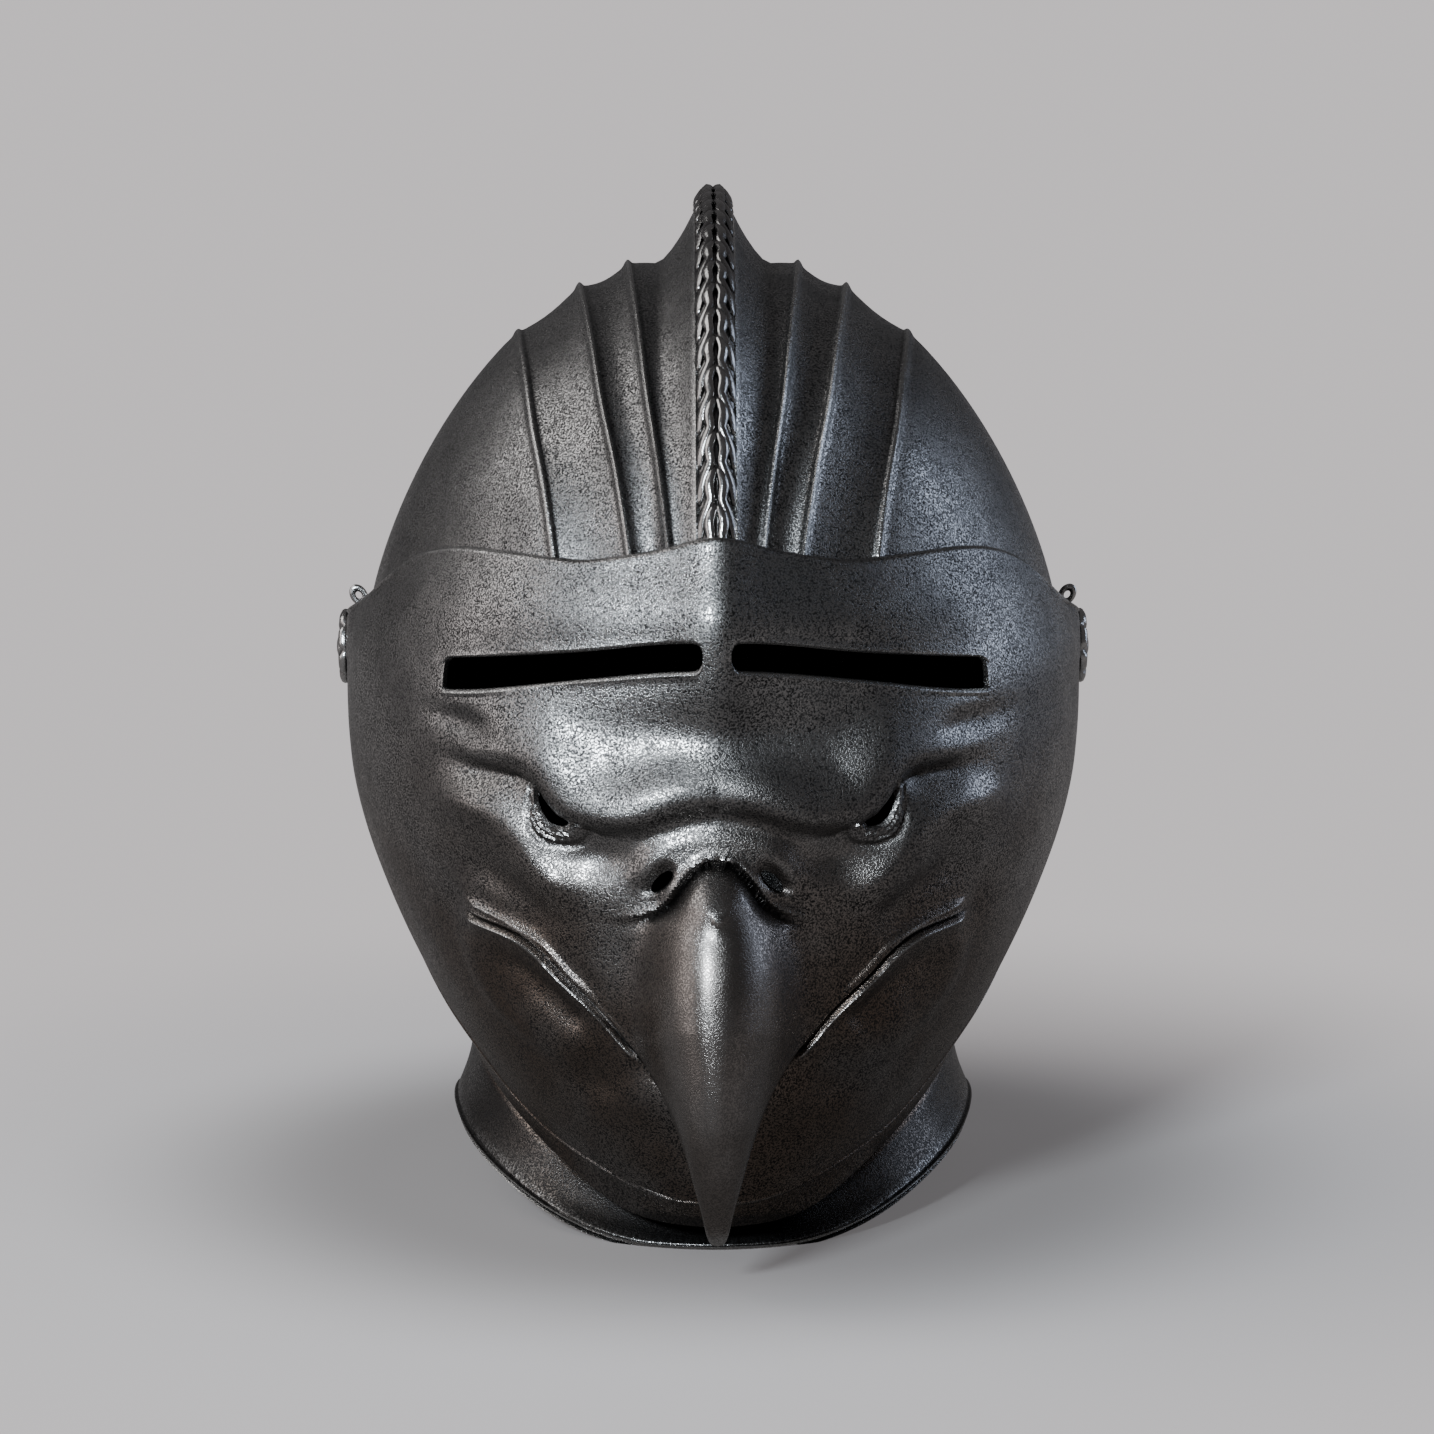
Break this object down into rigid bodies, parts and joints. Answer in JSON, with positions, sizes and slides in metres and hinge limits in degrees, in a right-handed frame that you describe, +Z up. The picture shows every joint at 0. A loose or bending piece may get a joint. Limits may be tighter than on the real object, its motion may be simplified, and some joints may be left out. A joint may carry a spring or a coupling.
{
  "type": "parade helmet",
  "caption": "Steel close helmet with a plaited comb, ribbed skull, eagle-mask visor with a hooked beak, and a bevor that flares into a neck collar.",
  "frame": {"origin": "centre of the base of the bounding box, on the surface the collar rests on", "axes": "+Z up, -Y the way the face looks, X across; the helmet is alike on both sides of X = 0"},
  "size_m": [0.2256, 0.3008, 0.2938],
  "materials": {
    "plate_steel": "aged, finely pitted and brushed",
    "fitting_steel": "aged, worn bright on the high spots"
  },
  "bodies": {
    "skull": {"skull": "plate_steel", "pivot_bolt_left": "fitting_steel", "pivot_bolt_right": "fitting_steel", "rosette_left": "fitting_steel", "rosette_right": "fitting_steel"},
    "bevor": {"bevor": "plate_steel"},
    "visor": {"visor": "plate_steel", "lug_left": "fitting_steel", "lug_right": "fitting_steel"}
  },
  "joints": [
    {"name": "bevor_hinge", "type": "hinge", "parent": "skull", "child": "bevor", "pos_m": [0, 0.0179, 0.156], "axis": [-1, 0, 0], "range_deg": [0, 40]},
    {"name": "visor_hinge", "type": "hinge", "parent": "bevor", "child": "visor", "pos_m": [0, 0.0179, 0.156], "axis": [-1, 0, 0], "range_deg": [0, 60]}
  ]
}
